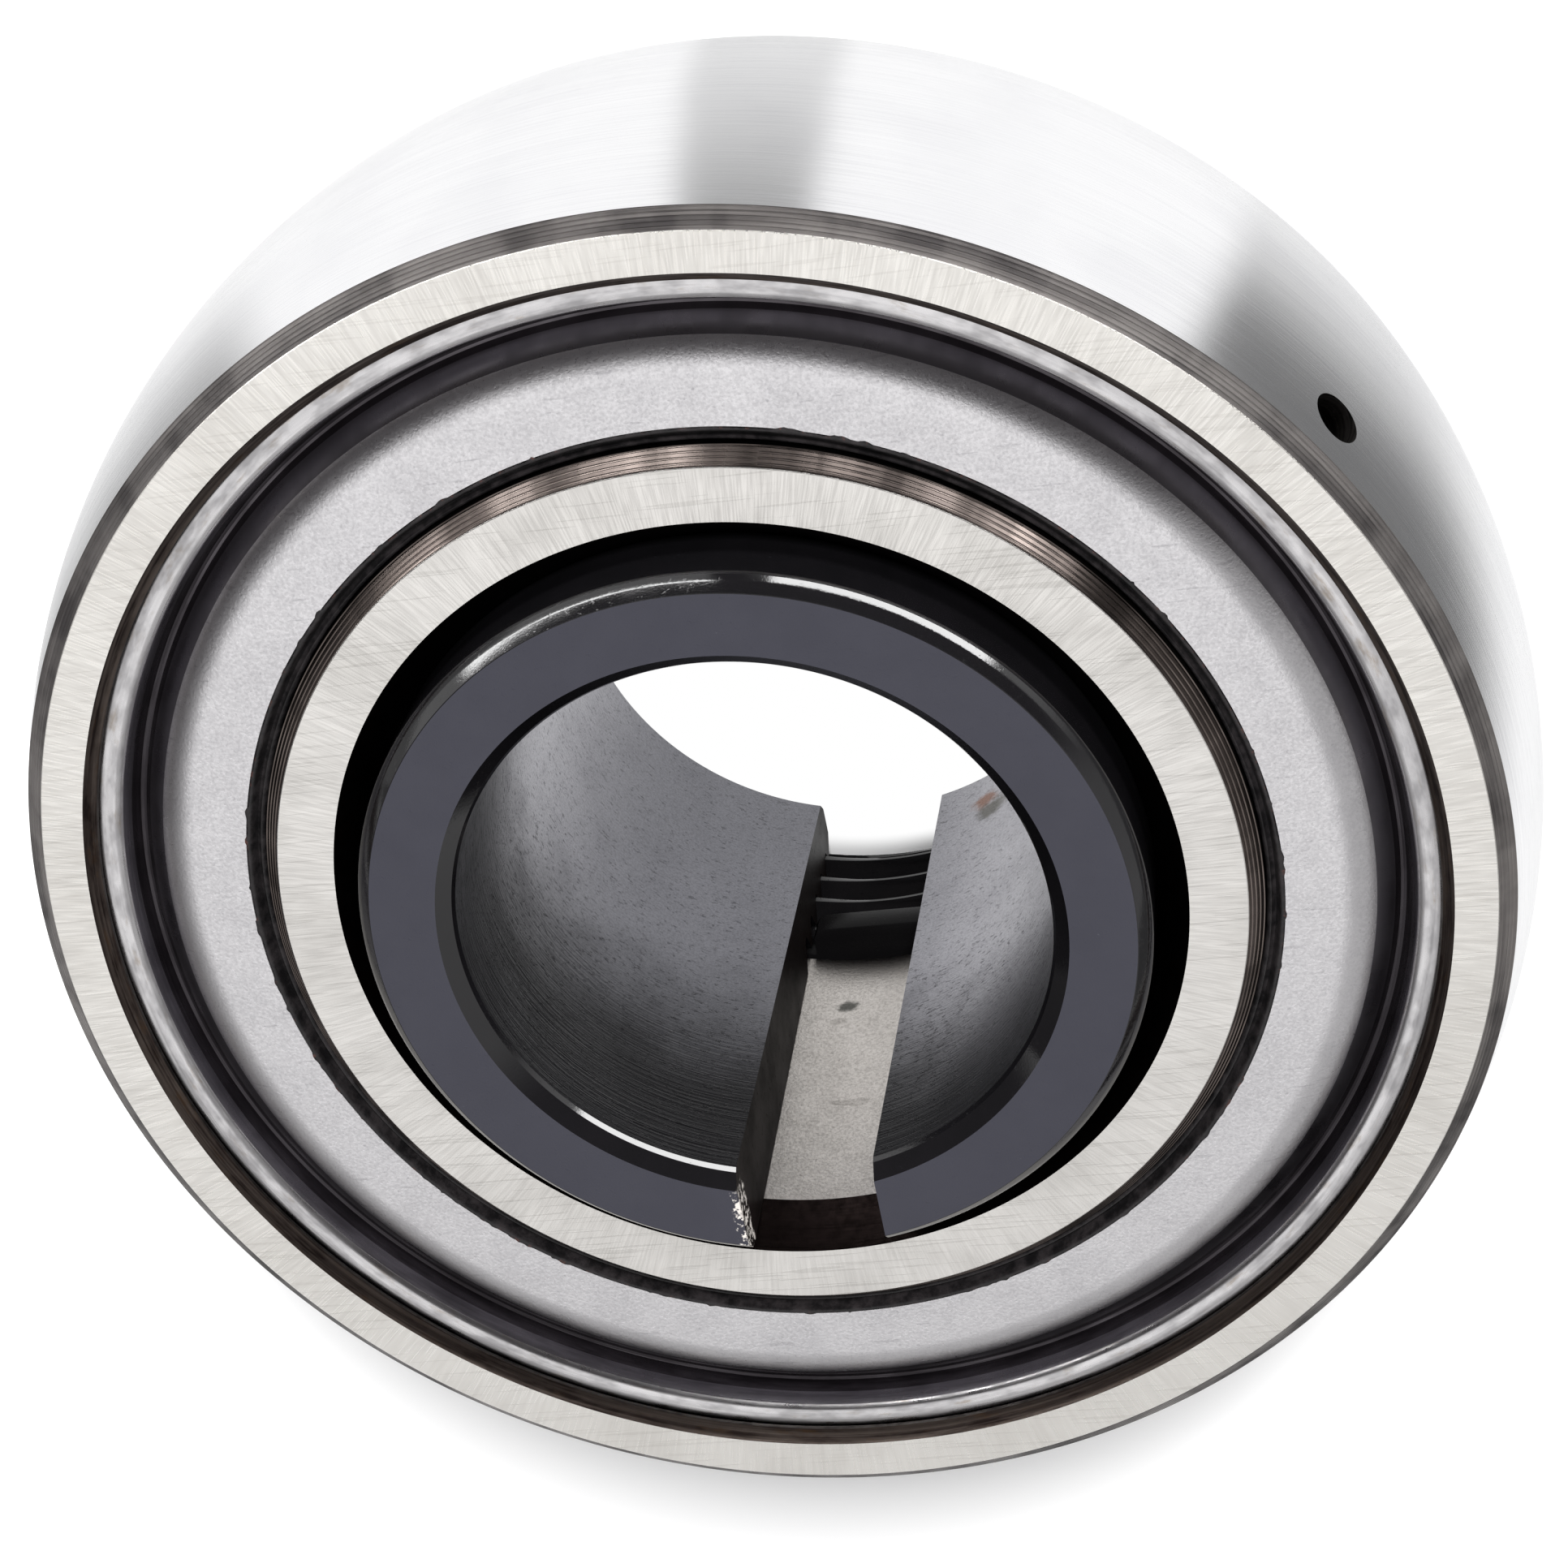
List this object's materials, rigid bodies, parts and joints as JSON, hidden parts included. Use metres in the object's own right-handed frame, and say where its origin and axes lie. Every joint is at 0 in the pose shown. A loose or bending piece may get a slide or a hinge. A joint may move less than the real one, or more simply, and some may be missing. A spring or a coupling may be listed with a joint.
{
  "type": "insert bearing",
  "caption": "Insert bearing with a spherical outer ring, side seals and a taper-bored inner ring on a slotted adapter sleeve that a lock nut draws tight on the shaft.",
  "frame": {"origin": "centre of the spherical outside surface, on the shaft axis", "axes": "+Z along the shaft out of the front face, the side with the plain end of the sleeve; -Y towards the slot of the sleeve; +X completes a right-handed frame"},
  "size_m": [0.052, 0.052, 0.0249],
  "materials": {
    "ground_steel": "satin, face-ground, with a bright honed sphere",
    "race_steel": "satin, fine cross-lapped face",
    "ball_steel": "polished",
    "cage_steel": "pressed sheet, satin",
    "seal_plate_steel": "matte, speckled pressed sheet",
    "seal_rubber": "black, ragged edge",
    "black_sleeve": "blackened, satin",
    "black_washer": "blackened, satin",
    "black_nut": "blackened, satin"
  },
  "bodies": {
    "outer": {"outer_ring": "ground_steel", "front_seal_plate": "seal_plate_steel", "front_seal_lip": "seal_rubber", "front_seal_backing": "seal_plate_steel", "back_seal_plate": "seal_plate_steel", "back_seal_lip": "seal_rubber", "back_seal_backing": "seal_plate_steel"},
    "inner": {"inner_ring": "race_steel", "lock_washer": "black_washer"},
    "cage": {"cage_front": "cage_steel", "cage_back": "cage_steel", "cage_rivets": "cage_steel"},
    "ball_1": {"ball_1": "ball_steel"},
    "ball_2": {"ball_2": "ball_steel"},
    "ball_3": {"ball_3": "ball_steel"},
    "ball_4": {"ball_4": "ball_steel"},
    "ball_5": {"ball_5": "ball_steel"},
    "ball_6": {"ball_6": "ball_steel"},
    "ball_7": {"ball_7": "ball_steel"},
    "ball_8": {"ball_8": "ball_steel"},
    "ball_9": {"ball_9": "ball_steel"},
    "nut": {"lock_nut": "black_nut"},
    "sleeve": {"adapter_sleeve": "black_sleeve"}
  },
  "joints": [
    {"name": "inner_spin", "type": "hinge", "parent": "outer", "child": "inner", "pos_m": [0, 0, 0], "axis": [0, 0, 1], "continuous": true},
    {"name": "cage_orbit", "type": "hinge", "parent": "outer", "child": "cage", "pos_m": [0, 0, 0], "axis": [0, 0, 1], "continuous": true},
    {"name": "ball_1_roll", "type": "hinge", "parent": "cage", "child": "ball_1", "pos_m": [0, 0.0195, 0], "axis": [0, 0, 1], "continuous": true},
    {"name": "ball_2_roll", "type": "hinge", "parent": "cage", "child": "ball_2", "pos_m": [-0.01253, 0.01494, 0], "axis": [0, 0, 1], "continuous": true},
    {"name": "ball_3_roll", "type": "hinge", "parent": "cage", "child": "ball_3", "pos_m": [-0.0192, 0.00339, 0], "axis": [0, 0, 1], "continuous": true},
    {"name": "ball_4_roll", "type": "hinge", "parent": "cage", "child": "ball_4", "pos_m": [-0.01689, -0.00975, 0], "axis": [0, 0, 1], "continuous": true},
    {"name": "ball_5_roll", "type": "hinge", "parent": "cage", "child": "ball_5", "pos_m": [-0.00667, -0.01832, 0], "axis": [0, 0, 1], "continuous": true},
    {"name": "ball_6_roll", "type": "hinge", "parent": "cage", "child": "ball_6", "pos_m": [0.00667, -0.01832, 0], "axis": [0, 0, 1], "continuous": true},
    {"name": "ball_7_roll", "type": "hinge", "parent": "cage", "child": "ball_7", "pos_m": [0.01689, -0.00975, 0], "axis": [0, 0, 1], "continuous": true},
    {"name": "ball_8_roll", "type": "hinge", "parent": "cage", "child": "ball_8", "pos_m": [0.0192, 0.00339, 0], "axis": [0, 0, 1], "continuous": true},
    {"name": "ball_9_roll", "type": "hinge", "parent": "cage", "child": "ball_9", "pos_m": [0.01253, 0.01494, 0], "axis": [0, 0, 1], "continuous": true},
    {"name": "nut_turn", "type": "hinge", "parent": "inner", "child": "nut", "pos_m": [0, 0, 0], "axis": [0, 0, 1], "range_deg": [0, 360]},
    {"name": "sleeve_draw", "type": "slide", "parent": "inner", "child": "sleeve", "axis": [0, 0, -1], "range_m": [0, 0.0015]}
  ],
  "couplings": [
    {"joint": "cage_orbit", "follows": "inner_spin", "ratio": 0.39823},
    {"joint": "ball_1_roll", "follows": "inner_spin", "ratio": -2.3548},
    {"joint": "ball_2_roll", "follows": "inner_spin", "ratio": -2.3548},
    {"joint": "ball_3_roll", "follows": "inner_spin", "ratio": -2.3548},
    {"joint": "ball_4_roll", "follows": "inner_spin", "ratio": -2.3548},
    {"joint": "ball_5_roll", "follows": "inner_spin", "ratio": -2.3548},
    {"joint": "ball_6_roll", "follows": "inner_spin", "ratio": -2.3548},
    {"joint": "ball_7_roll", "follows": "inner_spin", "ratio": -2.3548},
    {"joint": "ball_8_roll", "follows": "inner_spin", "ratio": -2.3548},
    {"joint": "ball_9_roll", "follows": "inner_spin", "ratio": -2.3548},
    {"joint": "sleeve_draw", "follows": "nut_turn", "m_per_rad": 0.00023873}
  ]
}
